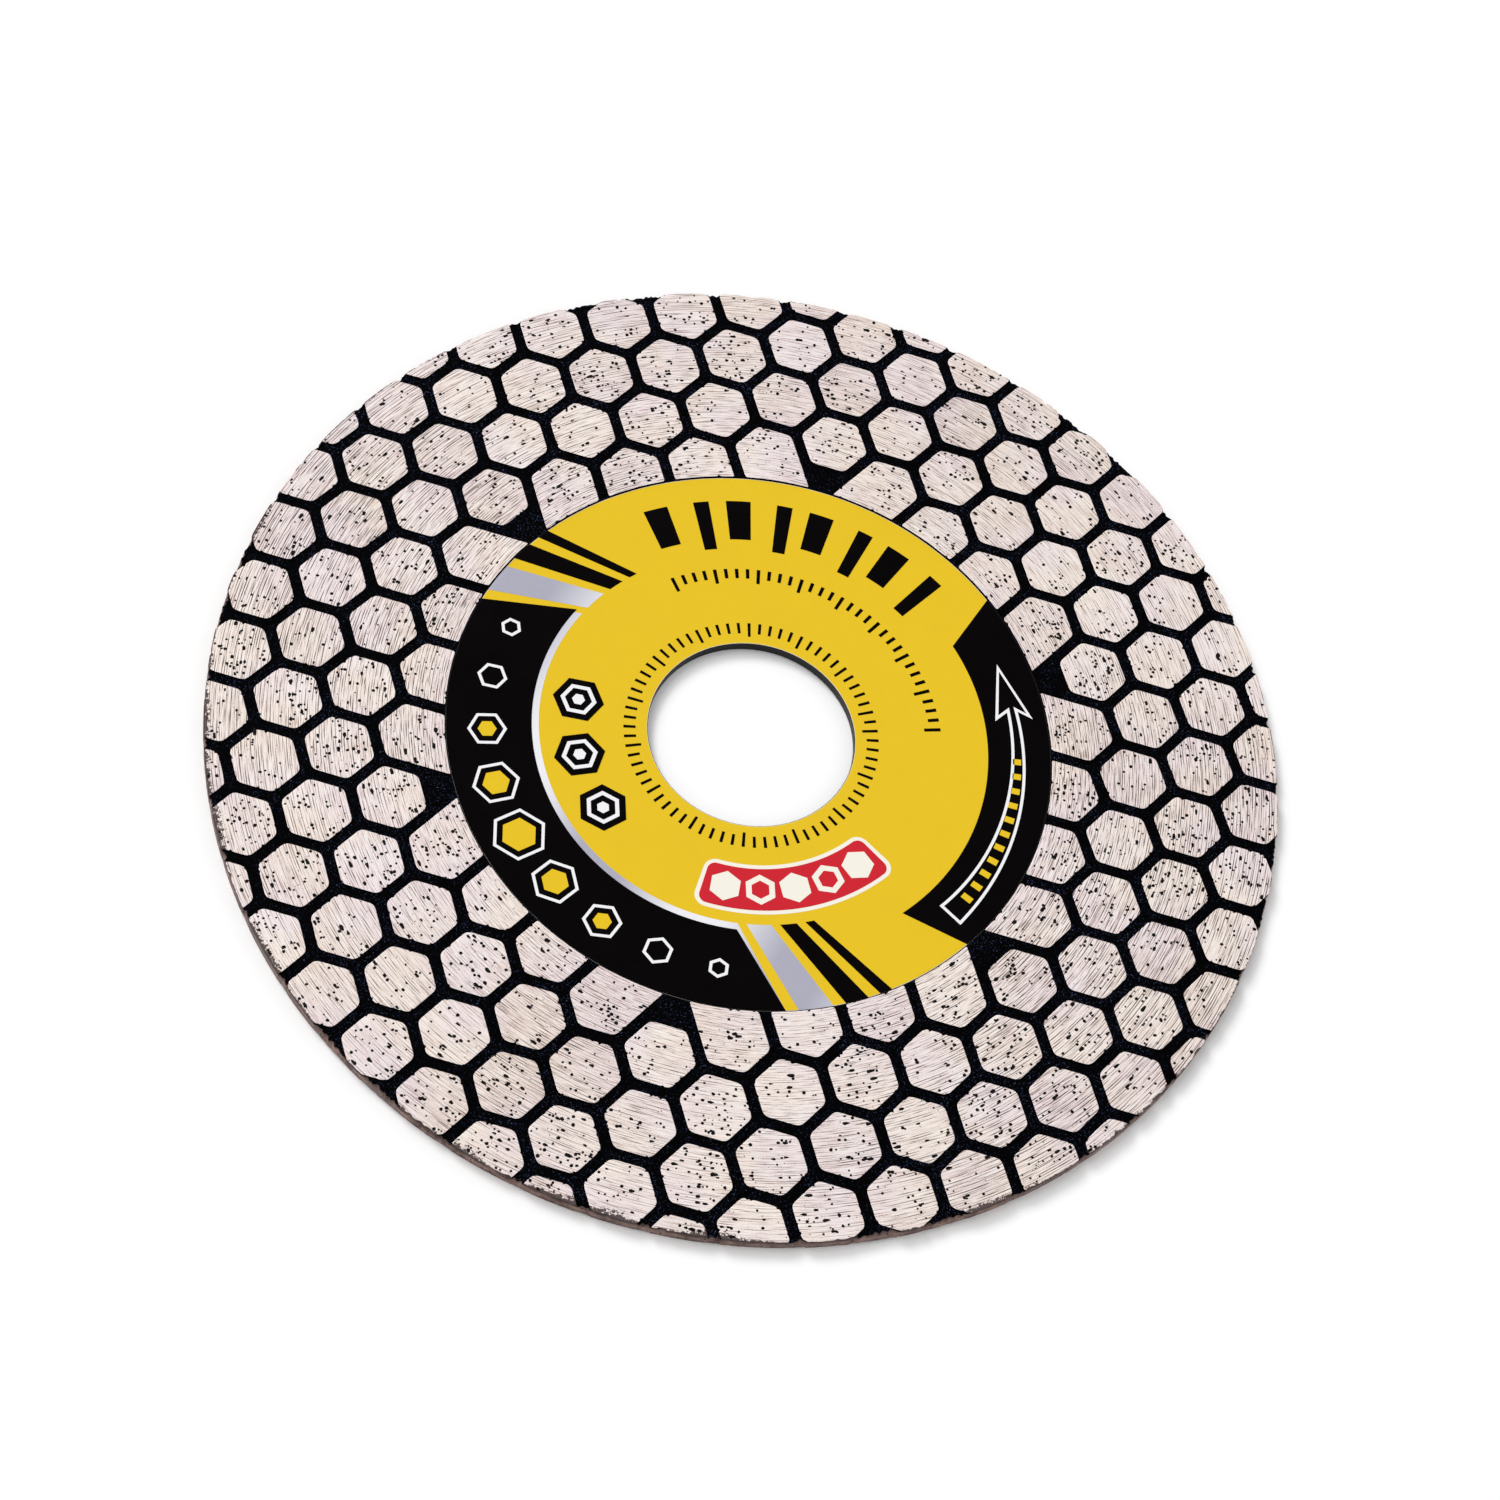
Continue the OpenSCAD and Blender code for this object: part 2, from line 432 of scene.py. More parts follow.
def inkFinish(name, colour, shade, specular=0.17, roughness=0.3):
    # flat colour with faint mottling, a fine grain and a soft gloss
    material, tree, shader = startFinish(name, {"roughness": roughness, "specular": specular})
    place = placeAt(tree)
    mottle = noiseAt(tree, place, inks["mottle"], 3.0)
    grain = noiseAt(tree, place, inks["grain"], 1.0)
    base = blend(tree, spread(tree, mottle, 0.3, 0.75, 0.0, 0.35), colour, shade)
    base = blend(tree, spread(tree, grain, 0.4, 0.7, 0.0, 0.25), base, shade)
    gloss = spread(tree, mottle, 0.3, 0.7, roughness - 0.05, roughness + 0.07)
    tree.links.new(gloss, shader.inputs["Roughness"])
    endFinish(tree, shader, base, total(tree, mottle, times(tree, grain, 0.05)), inks["depth"], 0.5)
    return material


def silverInkFinish():
    material, tree, shader = startFinish("silverInk", {"roughness": 0.3, "specular": 0.25})
    place = placeAt(tree)
    parts = put(tree, "SeparateXYZ", {0: place}).outputs
    slant = calc(tree, "SUBTRACT", parts[0], parts[1])
    sweep = calc(tree, "SINE", times(tree, slant, inks["silverSweep"]))
    grain = noiseAt(tree, place, inks["grain"], 1.0)
    base = blend(tree, spread(tree, sweep, -0.8, 0.9), "a9a8b8", "f0f0f4")
    base = blend(tree, spread(tree, grain, 0.45, 0.7, 0.0, 0.25), base, "c3c2cf")
    endFinish(tree, shader, base, grain, inks["silverDepth"], 0.5)
    return material


matrixTop = groundMatrixFinish()
groove = groovePaintFinish()
coreBlack = corePaintFinish()
sinter = cuttingSinterFinish()
grit = diamondGritFinish()
yellowInk = inkFinish("yellowInk", "e8c31f", "e2b91c")
blackInk = inkFinish("blackInk", "040203", "090607", 0.017, 0.34)
whiteInk = inkFinish("whiteInk", "f4f4f6", "e8e8ee")
creamInk = inkFinish("creamInk", "f6f2e6", "ece6d6")
redInk = inkFinish("redInk", "cf1f2e", "c01a28")
silverInk = silverInkFinish()
print("finishes made")


padSizes = {
    "step": 0.2 * mm,  # distance between points along an outline
    "chamfer": 0.045 * mm,
    "lip": 0.10 * mm,
    "lipDrop": 0.006 * mm,
    "chamferDrop": 0.008 * mm,
    "crown": 0.32 * mm,
    "waist": 0.45,  # height of the ring between foot and chamfer, as a share
    "waver": 0.03 * mm,
    "waverLength": 0.5 * mm,
    "chips": (2, 8),  # fewest and most along one pad's edge
    "chipDepth": (0.06 * mm, 0.26 * mm),
    "chipWidth": (0.12 * mm, 0.30 * mm),
    "chipReach": 3,  # points on each side of a chip's middle
    "edgeChips": 0.3,  # how deep chips are where the cutting edge wears already
    "edgeInsets": (0.03 * mm, 0.08 * mm),  # how far chamfer and lip stay inside the worn edge
    "edgeR": bladeR - 0.08 * mm,  # points outside this radius belong to the cutting edge
    "lipChips": 1.15,  # how far a chip reaches in at the lip, as a share of its depth
    "chipDrop": 0.35,  # how far it lowers the chamfer
    "lipDropShare": 0.3,
    "crownMost": 0.45,  # the crown takes no more than this share of a pad's half width
}

gritSizes = {
    "perArea": (0.4, 1.25),  # crystals per square millimetre, sparse and dense pads
    "radius": (0.125 * mm, 0.25 * mm),
    "corners": (5, 6, 6, 7),
    "uneven": (0.78, 1.18),
    "peak": 0.72,  # how wide a crystal's top is, as a share of its foot
    "stand": 0.024 * mm,  # how far the crystals stand above the ground face
    "standShare": (0.55, 1.0),
    "sunk": 0.01 * mm,
    "apart": 0.5 * mm,  # least distance between crystals that stand alone
    "stringShare": 0.22,
    "stringGap": (0.25, 0.8),  # in mm
    "tailShare": 0.28,
    "tail": (1.6, 3.4),  # length of a trailing crystal, in radii
    "edge": 0.12 * mm,
}


def flatOutlines(node, z):
    # the outlines of a CAD node's flat faces at height z
    mesh = frame["nodes"][node].data
    weld = 0.001 * mm  # corners closer than this are one
    spots = [tuple(round(c / weld) for c in v.co) for v in mesh.vertices]
    where = {}
    for spot, vertex in zip(spots, mesh.vertices):
        where.setdefault(spot, vertex.co.xy.copy())
    sides = {}
    for face in mesh.polygons:
        if abs(face.normal.z) > 0.9 and abs(face.center.z - z) < 0.01 * mm:
            ring = [spots[i] for i in face.vertices]
            for start, end in zip(ring, ring[1:] + ring[:1]):
                sides[(start, end)] = True
    following = {start: end for start, end in sides if (end, start) not in sides}
    outlines = []
    while following:
        first = min(following)
        loop = [first]
        current = following.pop(first)
        while current != first:
            loop.append(current)
            current = following.pop(current)
        outlines.append(anticlockwise(np.array([where[spot][:] for spot in loop])))
    return sorted(outlines, key=placeInOrder)


def placeInOrder(outline):
    x, y = outline[:, 0].mean(), outline[:, 1].mean()
    return round(math.atan2(y, x), 4), x


def signedArea(points):
    after = np.roll(points, -1, axis=0)
    return 0.5 * float((points[:, 0] * after[:, 1] - after[:, 0] * points[:, 1]).sum())


def anticlockwise(points):
    return points[::-1] if signedArea(points) < 0 else points


def evenSteps(points, step):
    closed = np.vstack([points, points[:1]])
    lengths = np.hypot(*np.diff(closed, axis=0).T)
    along = np.concatenate([[0], np.cumsum(lengths)])
    count = max(24, int(round(along[-1] / step)))  # even a sliver of a pad keeps 24 points
    where = np.linspace(0, along[-1], count, endpoint=False)
    return np.column_stack([np.interp(where, along, values) for values in closed.T])


def softened(points, passes):
    for _ in range(passes):
        points = 0.25 * np.roll(points, 1, axis=0) + 0.5 * points + 0.25 * np.roll(points, -1, axis=0)
    return points


def inwards(points):
    # unit directions that point into an anticlockwise outline
    run = np.roll(points, -1, axis=0) - np.roll(points, 1, axis=0)
    run /= np.maximum(np.hypot(run[:, 0], run[:, 1]), 1e-12)[:, None]
    return np.column_stack([-run[:, 1], run[:, 0]])


def chipDepths(count, step, dice):
    size = padSizes
    depths = np.zeros(count)
    phase = dice.uniform(0, 100)
    for i in range(count):
        depths[i] = size["waver"] * (0.5 + 0.5 * noise.noise((i * step / size["waverLength"], phase, 0)))
    for _ in range(dice.randint(*size["chips"])):
        middle = dice.randrange(count)
        deep = dice.uniform(*size["chipDepth"])
        wide = dice.uniform(*size["chipWidth"])
        for offset in range(-size["chipReach"], size["chipReach"] + 1):
            share = max(0.0, 1 - abs(offset) * step / wide)
            index = (middle + offset) % count
            depths[index] = max(depths[index], deep * share * dice.uniform(0.7, 1.0))
    return depths


class Build:
    # collects points, faces, finishes and tones of one piece
    def __init__(self):
        self.points, self.faces, self.finishes, self.tones = [], [], [], []

    def ring(self, points, z, tone=0.5):
        start = len(self.points)
        heights = z if hasattr(z, "__len__") else [z] * len(points)
        self.points += [(float(p[0]), float(p[1]), float(h)) for p, h in zip(points, heights)]
        self.tones += [tone] * len(points)
        return list(range(start, start + len(points)))

    def band(self, low, high, finish):
        count = len(low)
        for i in range(count):
            j = (i + 1) % count
            self.faces.append((low[i], low[j], high[j], high[i]))
            self.finishes.append(finish[i] if hasattr(finish, "__len__") else finish)

    def cap(self, ring, finish, upwards=True):
        self.faces.append(tuple(ring) if upwards else tuple(reversed(ring)))
        self.finishes.append(finish)

    def fan(self, ring, x, y, z, finish):
        # closes a pad's foot with triangles round one middle point
        middle = self.ring([(x, y)], z)[0]
        for start, end in zip(ring, ring[1:] + ring[:1]):
            self.faces.append((end, start, middle))
            self.finishes.append(finish)

    def piece(self, name, finishes, flip=False):
        mesh = bpy.data.meshes.new(name)
        faces = [tuple(reversed(face)) for face in self.faces] if flip else self.faces
        mesh.from_pydata(self.points, [], faces)
        for finish in finishes:
            mesh.materials.append(finish)
        mesh.polygons.foreach_set("material_index", self.finishes)
        tones = mesh.attributes.new("padTone", "FLOAT", "POINT")
        tones.data.foreach_set("value", self.tones)
        mesh.update()
        return addObject(name, mesh)


edgeWear = {
    "rough": 0.35 * mm,  # size of the fine and of the broad unevenness
    "broad": 3 * mm,
    "wear": (0.03, 0.02, 0.01),  # in mm: everywhere, by the fine unevenness and by the broad one
    "nickSize": 0.9 * mm,
    "nickDepth": 0.5 * mm,
    "nickAbove": 0.22,  # share of the noise that leaves no nick
    "notch": (0.04 * mm, 0.34 * mm),  # how far the web wears back between two pads
    "notchGrain": 0.4 * mm,
    "notchEase": 0.2 * mm,
    "fade": (0.75 * mm, 1.3 * mm),  # nicks and notches fade out between these heights
    "backShare": 0.12,  # what is left of them at the back
}


def frontShare(z):
    # the edge is worn most at the front face and least at the back
    low, high = edgeWear["fade"]
    back = edgeWear["backShare"]
    return back + (1 - back) * min(1.0, max(0.0, (z - low) / (high - low)))


def wornEdgeR(x, y, z):
    # radius of the cutting edge after its first grinding, with a nick here and there
    look = edgeWear
    rough = noise.noise((x / look["rough"], y / look["rough"], z / look["rough"]))
    broad = noise.noise((x / look["broad"], y / look["broad"], 0))
    nick = noise.noise((x / look["nickSize"], y / look["nickSize"], z / look["broad"]))
    nickDepth = max(0, nick - look["nickAbove"]) * look["nickDepth"] * frontShare(z)
    everywhere, byRough, byBroad = look["wear"]
    return bladeR - (everywhere + byRough * rough + byBroad * broad) * mm - nickDepth


def padSpans():
    # middle and half width, in degrees, of every pad's share of the cutting edge
    spans = []
    for node in ("front_edge_pads", "front_edge_sliver_pads"):
        for outline in flatOutlines(node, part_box(node)[1].z):
            middle = math.degrees(math.atan2(outline[:, 1].mean(), outline[:, 0].mean()))
            atEdge = outline[np.hypot(*outline.T) > onEdgeR]
            turns = (np.degrees(np.arctan2(atEdge[:, 1], atEdge[:, 0])) - middle + 180) % 360 - 180
            spans.append((middle + (turns.min() + turns.max()) / 2, (turns.max() - turns.min()) / 2))
    return spans


edgeSpans = padSpans()


def notchedEdgeR(x, y, z):
    # between the pads the web and its coat are worn back a little further
    look = edgeWear
    angle = math.degrees(math.atan2(y, x))
    gap = min(abs((angle - middle + 180) % 360 - 180) - half for middle, half in edgeSpans)
    bare = min(1.0, max(0.0, math.radians(gap) * bladeR / look["notchEase"])) * frontShare(z)
    ragged = 0.5 + noise.noise((x / look["notchGrain"], y / look["notchGrain"], 7.0))
    ragged = min(1.0, max(0.0, ragged))
    shallow, deep = look["notch"]
    return wornEdgeR(x, y, z) - bare * (shallow + (deep - shallow) * ragged)


def keepInside(points, z, inset=0.0, edgeR=wornEdgeR):
    kept = points.copy()
    for i, (x, y) in enumerate(points):
        radius = math.hypot(x, y)
        if radius < wornFromR:
            continue
        limit = edgeR(x, y, z) - inset
        if radius > limit:
            kept[i] *= limit / radius
    return kept


def addPad(build, outline, foot, face, dice):
    # foot and face are heights: the pad grows from one to the other
    size = padSizes
    rise = 1 if face > foot else -1
    tone = dice.random()
    full = evenSteps(outline, size["step"])
    even = softened(full, 2)
    into = inwards(even)
    depths = chipDepths(len(even), size["step"], dice)
    centre = even.mean(axis=0)
    atEdge = [math.hypot(*point) > size["edgeR"] for point in full]
    depths[atEdge] *= size["edgeChips"]
    top = face - rise * gritSizes["stand"]
    waist = foot + size["waist"] * (top - foot)
    chamferLine = even + into * (size["chamfer"] + depths)[:, None]
    lipLine = even + into * (size["lip"] + depths * size["lipChips"])[:, None]
    reach = np.hypot(*(even - centre).T)
    shrink = 1 - np.minimum(size["crown"] / reach, size["crownMost"])
    crownLine = centre + (lipLine - centre) * shrink[:, None]
    drop = size["lipDrop"] + depths * size["chipDrop"]
    lipZ = top - rise * size["lipDropShare"] * drop
    chamferInset, lipInset = size["edgeInsets"]
    chamferLine = keepInside(chamferLine, top, chamferInset)
    rings = [
        build.ring(keepInside(full, foot), foot, tone),
        build.ring(keepInside(even, waist), waist, tone),
        build.ring(chamferLine, top - rise * (size["chamferDrop"] + drop), tone),
        build.ring(keepInside(lipLine, top, lipInset), lipZ, tone),
        build.ring(crownLine, top, tone),
    ]
    flank = [3 if edge else 1 for edge in atEdge]
    build.fan(rings[0], *centre, foot, 1)
    build.band(rings[0], rings[1], flank)
    build.band(rings[1], rings[2], flank)
    build.band(rings[2], rings[3], 0)
    build.band(rings[3], rings[4], 0)
    build.cap(rings[4], 0)
    addGrit(build, lipLine, top, rise, dice)


def insideOf(points, x, y, margin):
    # whether (x, y) is inside an outline, at least margin from its sides
    after = np.roll(points, -1, axis=0)
    run = after - points
    lengths = np.maximum(np.hypot(run[:, 0], run[:, 1]), 1e-12)
    away = (run[:, 0] * (y - points[:, 1]) - run[:, 1] * (x - points[:, 0])) / lengths
    return bool((away > margin).all())


def addGrit(build, outline, top, rise, dice):
    size = gritSizes
    sparse, dense = size["perArea"]
    perArea = sparse + (dense - sparse) * dice.random() ** 1.6
    wanted = int(round(perArea * abs(signedArea(outline)) / mm ** 2))
    low, high = outline.min(axis=0), outline.max(axis=0)
    hull = evenSteps(softened(outline, 6), 0.8 * mm)
    spots = []
    tries = 0
    while len(spots) < wanted and tries < 40 * wanted:
        tries += 1
        if spots and dice.random() < size["stringShare"]:  # crystals gather in short strings
            angle = dice.uniform(0, math.tau)
            gap = dice.uniform(*size["stringGap"]) * mm
            x, y = spots[-1][0] + gap * math.cos(angle), spots[-1][1] + gap * math.sin(angle)
        else:
            x, y = dice.uniform(low[0], high[0]), dice.uniform(low[1], high[1])
            if any(math.hypot(x - a, y - b) < size["apart"] for a, b in spots):
                continue
        if insideOf(hull, x, y, size["edge"]):
            addCrystal(build, x, y, top, rise, dice)
            spots.append((x, y))


def addCrystal(build, x, y, top, rise, dice):
    size = gritSizes
    small, large = size["radius"]
    radius = small + (large - small) * dice.random() ** 1.5
    corners = dice.choice(size["corners"])
    turn = dice.uniform(0, math.tau)
    around = math.atan2(y, x) + math.pi / 2
    trailing = dice.random() < size["tailShare"]
    tail = dice.uniform(*size["tail"]) * dice.choice((1, 1, -1))
    base, peak = [], []
    for k in range(corners):
        angle = turn + math.tau * k / corners
        out = radius * dice.uniform(*size["uneven"])
        px, py = out * math.cos(angle), out * math.sin(angle)
        along = px * math.cos(around) + py * math.sin(around)
        if trailing and along * tail > 0:  # draw the trailing half out round the blade
            stretch = along * (abs(tail) - 1)
            px += stretch * math.cos(around)
            py += stretch * math.sin(around)
        base.append((x + px, y + py))
        peak.append((x + size["peak"] * px, y + size["peak"] * py))
    low = build.ring(base, top - rise * size["sunk"])
    stand = size["stand"] * dice.uniform(*size["standShare"])
    high = build.ring(peak, top + rise * stand)
    build.cap(low, 2, upwards=False)
    build.band(low, high, 2)
    build.cap(high, 2)


padGroups = ("gap", "inner", "inner_flank", "second_row_corner", "second_row", "third_row", "edge",
             "edge_sliver")


def pieceName(node):  # "front_gap_pads" as "frontGapPads"
    first, *others = node.split("_")
    return first + "".join(word.capitalize() for word in others)


for side in ("front", "back"):
    for group in padGroups:
        node = side + "_" + group + "_pads"
        low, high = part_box(node)
        foot, face = (low.z, high.z) if side == "front" else (high.z, low.z)
        dice = random.Random(node)
        build = Build()
        for outline in flatOutlines(node, face):
            addPad(build, outline, foot, face, dice)
        pads = build.piece(pieceName(node), [matrixTop, groove, grit, sinter], flip=side == "back")
        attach(pads, "root")
        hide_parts(node)
    print(side, "pads made")


def lathe(name, profile, turns, finish, edgeR):
    # profile is a closed list of (radius, z); edgeR gives the worn edge's radius
    build = Build()
    rings = []
    for radius, z in profile:
        points = []
        for k in range(turns):
            angle = math.tau * k / turns
            x, y = radius * math.cos(angle), radius * math.sin(angle)
            if radius > wornFromR:
                scale = min(1.0, edgeR(x, y, z) / radius)
                x, y = x * scale, y * scale
            points.append((x, y))
        rings.append(build.ring(points, z))
    for inner, outer in zip(rings, rings[1:] + rings[:1]):
        build.band(inner, outer, 0)
    return build.piece(name, [finish])


webSizes = {
    "turns": 2160,
    "wallRows": 6,
    "wallFrom": 0.04,  # where the wall starts, and how far it reaches, as shares of the height
    "wallReach": 0.92,
    "corner": 0.06 * mm,
    "coreGap": 0.1 * mm,  # from the label's edge to the rim
}


def webProfile(look):
    inner, corner = labelOuterR + look["coreGap"], bladeR - look["corner"]
    low, high = webLow.z, webHigh.z
    rows = look["wallRows"]
    wall = [(bladeR, low + (high - low) * (look["wallFrom"] + look["wallReach"] * k / rows))
            for k in range(rows + 1)]
    return [(inner, low), (corner, low)] + wall + [(corner, high), (inner, high)]


web = lathe("cuttingWeb", webProfile(webSizes), webSizes["turns"], sinter, notchedEdgeR)
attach(web, "root")
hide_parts("rim_web")

core = frame["nodes"]["steel_core"].data
core.materials.clear()
core.materials.append(coreBlack)
print("web and core finished")


def flatPiece(name, loops, low, high, finish, slot):
    # loops and heights in mm, holes by the even-odd rule
    curve = bpy.data.curves.new(name, "CURVE")
    curve.dimensions = "2D"
    curve.fill_mode = "BOTH"
    curve.extrude = (high - low) / 2
    for loop in loops:
        spline = curve.splines.new("POLY")
        spline.points.add(len(loop) - 1)
        for point, (x, y) in zip(spline.points, loop):
            point.co = (x, y, 0, 1)
        spline.use_cyclic_u = True
    drawn = addObject(name + "Outline", curve)
    bpy.context.view_layer.update()
    seen = drawn.evaluated_get(bpy.context.evaluated_depsgraph_get())
    mesh = bpy.data.meshes.new_from_object(seen)
    mesh.name = name
    mesh.transform(Matrix.Scale(mm, 4) @ Matrix.Translation((0, 0, (low + high) / 2)))
    bpy.data.objects.remove(drawn)
    mesh.materials.clear()
    mesh.materials.append(finish)
    piece = addObject(name, mesh)
    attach(piece, "root")
    return piece


grooveCoat = {
    "edgeStep": 0.15 * mm,  # distance between points along the cutting edge
    "edgeInset": 0.015 * mm,  # how far the coat stays inside the web's worn edge
}


def edgeSplit(points, step):
    # adds points along the sides of an outline that lie on the cutting edge
    result = []
    for start, end in zip(points, np.roll(points, -1, axis=0)):
        onEdge = min(np.hypot(*start), np.hypot(*end)) > onEdgeR
        count = max(1, round(math.dist(start, end) / step)) if onEdge else 1
        result += [start + (end - start) * k / count for k in range(count)]
    return np.array(result)


for node in ("front_groove_coat", "back_groove_coat"):
    low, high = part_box(node)
    loops = []
    for outline in flatOutlines(node, high.z):
        split = edgeSplit(outline, grooveCoat["edgeStep"])
        worn = keepInside(split, high.z, grooveCoat["edgeInset"], notchedEdgeR)
        loops.append([(x / mm, y / mm) for x, y in worn])
    coat = flatPiece(pieceName(node), loops, low.z / mm, high.z / mm, groove, "black_groove_coat")
    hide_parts(node)
print("groove coats made")


labelSizes = {
    "film": 0.040,  # in mm; each printed layer above the film adds layerStep
    "layerStep": 0.020,
    "boreGap": 0.06,
    "trim": 0.035,  # how far the yellow field stays back from the film's edges
    "outline": 0.32,
}


def arcPoints(radius, fromAngle, toAngle, centre=(0.0, 0.0), step=1.0):
    count = max(2, int(abs(toAngle - fromAngle) / step) + 1)
    angles = np.radians(np.linspace(fromAngle, toAngle, count))
    return [(centre[0] + radius * math.cos(a), centre[1] + radius * math.sin(a)) for a in angles]


def sector(innerR, outerR, fromAngle, toAngle):
    return arcPoints(outerR, fromAngle, toAngle) + arcPoints(innerR, toAngle, fromAngle)


def polar(radius, angle):
    return radius * math.cos(math.radians(angle)), radius * math.sin(math.radians(angle))


def cellRow(look, sizes):
    # hexagons in a row round the label, each with a corner pointing outwards
    cells = []
    for k, size in enumerate(sizes):
        angle = look["first"] + look["step"] * k
        x, y = polar(look["radius"], angle)
        spokes = [polar(size, angle + 60 * corner) for corner in range(6)]
        cells.append([(x + dx, y + dy) for dx, dy in spokes])
    return cells


def insetLoop(loop, distance):
    # moves every side of an outline inwards by distance, with mitred corners
    points = anticlockwise(np.array(loop, float))
    before, after = np.roll(points, 1, axis=0), np.roll(points, -1, axis=0)
    result = []
    for a, p, b in zip(before, points, after):
        first, second = p - a, b - p
        first /= max(math.hypot(*first), 1e-9)
        second /= max(math.hypot(*second), 1e-9)
        normal = np.array([-(first[1] + second[1]), first[0] + second[0]])
        normal /= max(math.hypot(*normal), 1e-9)
        share = max(0.35, normal @ np.array([-first[1], first[0]]))  # a sharp corner's mitre is cut short
        result.append(tuple(p + normal * distance / share))
    return result


def printed(name, loops, lowLayer, highLayer, finish):
    # loops in mm, holes by the even-odd rule; layers count up from the film's top face
    base = labelLow.z / mm
    levels = [base if layer < 0 else base + labelSizes["film"] + layer * labelSizes["layerStep"]
              for layer in (lowLayer, highLayer)]
    return flatPiece(name, loops, *levels, finish, "printed_label")


labelR = labelOuterR / mm
holeR = boreR / mm + labelSizes["boreGap"]


def wholeLabel(trim):
    return [arcPoints(labelR - trim, 0, 359), arcPoints(holeR + trim, 0, 358, step=2)]


film = printed("labelFilm", wholeLabel(0), -1, 0, creamInk)
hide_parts("front_label")
printed("yellowField", wholeLabel(labelSizes["trim"]), 0, 0.25, yellowInk)


def slanted(innerR, outerR, fromAngle, toAngle, lean):
    # part of a ring whose ends lean round the label by lean degrees
    outside = arcPoints(outerR, fromAngle + lean, toAngle + lean)
    return outside + arcPoints(innerR, toAngle, fromAngle)


def outlined(loop, width):
    return [loop, insetLoop(loop, width)]


darkBand = {"innerR": 23.4, "from": 128, "to": 250, "lean": 10, "stripes": (6.5, 4.4, 2.4),
            "gap": 2.4, "edge": 0.75}  # edge is the silver line along its inner side


def bandStripes(look):
    # shrinking stripes past both ends of the band
    stripes = []
    after, before = look["to"], look["from"]
    for wide in look["stripes"]:
        inner = look["innerR"] - look["edge"]
        after += look["gap"]
        stripes.append(slanted(inner, labelR, after, after + wide, look["lean"]))
        after += wide
        before -= look["gap"]
        stripes.append(slanted(inner, labelR, before - wide, before, look["lean"]))
        before -= wide
    return stripes


def bandLoop(look, edge=0.0):
    return slanted(look["innerR"] - edge, labelR, look["from"], look["to"], look["lean"])


stripes = bandStripes(darkBand)
printed("silverEdge", [bandLoop(darkBand, darkBand["edge"])] + stripes[:2], 0, 1, silverInk)
printed("darkStripes", stripes[2:], 0, 1, blackInk)
printed("darkBand", [bandLoop(darkBand)], 1, 2, blackInk)

bandCells = {"count": 9, "radius": 28.1, "first": 141.2, "step": 13.2, "small": 1.15, "large": 3.05,
             "coreInset": 0.95, "coreAbove": 0.4}  # smaller cells have no yellow core


def bandHexagons(look):
    # cells that grow towards the middle of the band
    middle = (look["count"] - 1) / 2
    shares = [1 - abs(k - middle) / middle for k in range(look["count"])]
    sizes = [look["small"] + (look["large"] - look["small"]) * share for share in shares]
    rings, cores = [], []
    for cell, share in zip(cellRow(look, sizes), shares):
        rings += outlined(cell, labelSizes["outline"])
        if share > look["coreAbove"]:
            cores.append(insetLoop(cell, look["coreInset"]))
    return rings, cores


rings, cores = bandHexagons(bandCells)
printed("bandCellRings", rings, 2, 3, whiteInk)
printed("bandCellCores", cores, 2, 3, yellowInk)

turnArrow = {"radius": 28.9, "tail": -60, "neck": -6, "tip": 6, "steps": 40,
             "tailWidth": 3.0, "neckWidth": 1.2, "headWidth": 4.2,
             "barb": 2.0}  # how far the barbs sweep back, in degrees
arrowField = {"innerR": 25.6, "from": -68, "to": 14, "lean": 6}

arrowMarks = {"count": 11, "step": 3.6, "from": -55, "to": -53.6,
              "innerR": 28.3, "longR": 28.3, "every": 1, "outerR": 29.5, "taper": 0.03}


def arrowLoop(look):
    # a curved arrow whose shaft narrows from its tail to its head
    steps = look["steps"]
    outer, inner = [], []
    for k in range(steps + 1):
        share = k / steps
        angle = look["tail"] + (look["neck"] - look["tail"]) * share
        half = 0.5 * (look["tailWidth"] + (look["neckWidth"] - look["tailWidth"]) * share ** 0.8)
        outer.append(polar(look["radius"] + half, angle))
        inner.append(polar(look["radius"] - half, angle))
    barbs = [polar(look["radius"] + look["headWidth"] / 2, look["neck"] - look["barb"]),
             polar(look["radius"] + 0.2, look["tip"]),
             polar(look["radius"] - look["headWidth"] / 2, look["neck"] - look["barb"])]
    return outer + barbs + inner[::-1]


def rowOfBars(look):
    # bars side by side: every few start at longR, and taper makes each shorter than the last
    bars = []
    for k in range(look["count"]):
        innerR = look["innerR"] if k % look["every"] else look["longR"]
        outerR = look["outerR"] - look["taper"] * k
        turn = look["step"] * k
        bars.append(sector(innerR, outerR, turn + look["from"], turn + look["to"]))
    return bars


printed("turnArrowField", [bandLoop(arrowField)], 0, 1, blackInk)
printed("turnArrow", outlined(arrowLoop(turnArrow), labelSizes["outline"]), 1, 2, whiteInk)
printed("turnArrowMarks", rowOfBars(arrowMarks), 1, 2, yellowInk)

badge = {"inner": 16.2, "outer": 21.0, "from": -122, "to": -62, "corner": 0.9, "edge": 0.45}
badgeCells = {"count": 5, "radius": 18.6, "first": -114.8, "step": 11.4, "size": 1.75, "line": 0.6}


